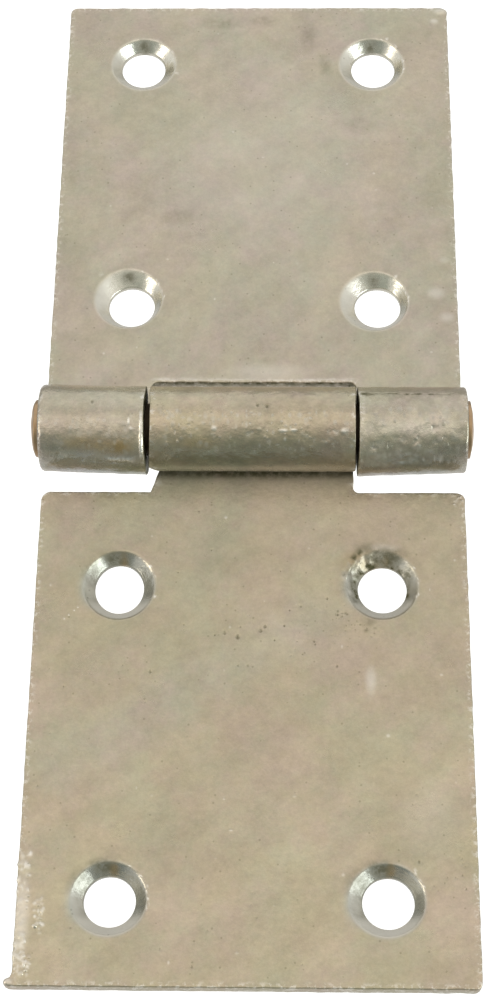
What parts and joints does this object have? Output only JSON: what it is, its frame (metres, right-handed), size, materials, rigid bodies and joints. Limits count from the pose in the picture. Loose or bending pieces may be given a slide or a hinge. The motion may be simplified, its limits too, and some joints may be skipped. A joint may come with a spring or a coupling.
{
  "type": "strap hinge",
  "caption": "Flat strap hinge with two long countersunk leaves on a brass pin, for doors, gates, lids and flaps.",
  "frame": {"origin": "on the mounting plane, straight below the middle of the pin", "axes": "+X along the pin, +Y towards the leaf with two knuckles, +Z away from the mounting plane, on the side of the countersinks"},
  "size_m": [0.0524, 0.13, 0.0101],
  "materials": {
    "galvanised_sheet": "dull hot-dip zinc with soft mottling",
    "brass_pin": "peened and slightly tarnished"
  },
  "bodies": {
    "two_knuckle_side": {"two_knuckle_leaf": "galvanised_sheet", "hinge_pin": "brass_pin"},
    "single_knuckle_side": {"single_knuckle_leaf": "galvanised_sheet"}
  },
  "joints": [
    {"name": "leaf_fold", "type": "hinge", "parent": "two_knuckle_side", "child": "single_knuckle_side", "pos_m": [0, 0, 0.00505], "axis": [-1, 0, 0], "range_deg": [-100, 184]}
  ]
}
